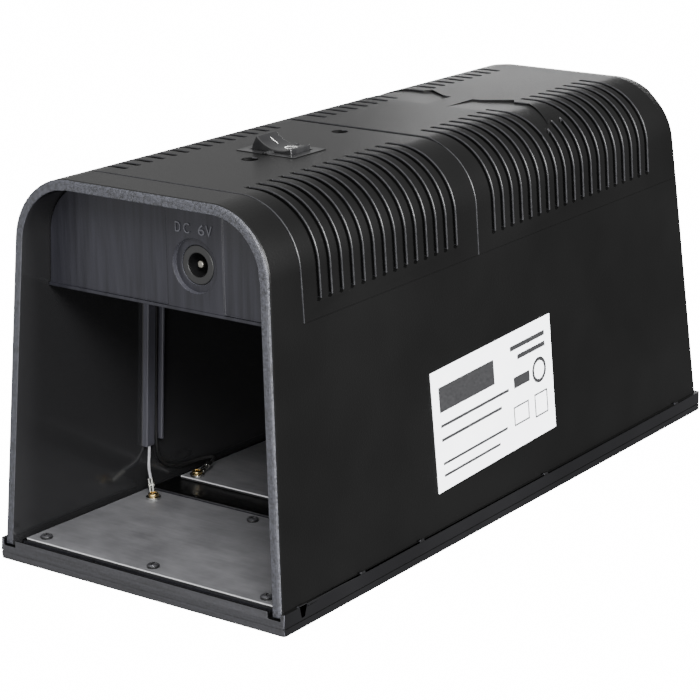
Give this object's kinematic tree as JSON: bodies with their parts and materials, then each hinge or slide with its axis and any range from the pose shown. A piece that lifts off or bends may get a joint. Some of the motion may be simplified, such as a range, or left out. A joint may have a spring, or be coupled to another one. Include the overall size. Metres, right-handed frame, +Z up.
{
  "type": "electronic tunnel mouse and rat trap",
  "caption": "Tapered black tunnel trap with two live steel floor plates, rocker switch, low-voltage socket and a battery bay under a sliding cover.",
  "frame": {"origin": "middle of the underside of the base", "axes": "+Z up, +Y from the open end to the rear wall, +X to the side with the label"},
  "size_m": [0.104, 0.235, 0.1181],
  "materials": {
    "housing_black": "satin moulded ABS",
    "inner_moulding": "satin moulded ABS",
    "switch_black": "semi-gloss nylon",
    "lamp_lens": "tinted epoxy lens, unlit",
    "board_green": "solder mask",
    "floor_steel": "plain cold-rolled sheet",
    "plated_steel": "tin or nickel plated",
    "screw_steel": "zinc plated",
    "screw_black": "black oxide",
    "brass": "bright brass",
    "ferrite_and_tape": "yellow tape over a ferrite core",
    "capacitor_sleeve": "heat-shrunk sleeve",
    "capacitor_epoxy": "dipped epoxy",
    "wire_insulation_grey": "clear sleeve over tinned strands",
    "wire_insulation_black": "PVC",
    "wire_insulation_red": "PVC",
    "label_white": "printed film"
  },
  "bodies": {
    "housing": {"base_tray": "housing_black", "housing_shell": "housing_black", "front_cover": "housing_black", "front_bulkhead": "inner_moulding", "chassis_deck": "inner_moulding", "battery_tray": "inner_moulding", "battery_springs": "plated_steel", "battery_contacts": "plated_steel", "battery_bridge": "plated_steel", "switch_body": "switch_black", "switch_terminals": "brass", "front_indicator": "lamp_lens", "rear_indicator": "lamp_lens", "dc_socket_body": "switch_black", "dc_socket_contacts": "plated_steel", "dc_socket_nut": "plated_steel", "circuit_board": "board_green", "board_screws": "screw_steel", "step_up_transformer": "ferrite_and_tape", "reservoir_capacitor": "capacitor_sleeve", "high_voltage_capacitors": "capacitor_epoxy", "controller_chip": "switch_black", "board_diodes": "switch_black", "front_plate": "floor_steel", "rear_plate": "floor_steel", "plate_screws": "screw_black", "terminal_screws": "brass", "ring_terminals": "plated_steel", "front_plate_wire": "wire_insulation_grey", "rear_plate_wire": "wire_insulation_black", "switch_leads": "wire_insulation_red", "socket_leads": "wire_insulation_black", "battery_leads": "wire_insulation_red", "base_screws": "screw_steel", "side_label": "label_white"},
    "battery_cover": {"battery_cover": "housing_black"},
    "rocker": {"switch_rocker": "switch_black"}
  },
  "joints": [
    {"name": "battery_cover_slide", "type": "slide", "parent": "housing", "child": "battery_cover", "axis": [0, 1, 0], "range_m": [0, 0.112]},
    {"name": "switch_rocker_tilt", "type": "hinge", "parent": "housing", "child": "rocker", "pos_m": [0, -0.0485, 0.1133], "axis": [0, 1, 0], "range_deg": [-24, 0]}
  ]
}
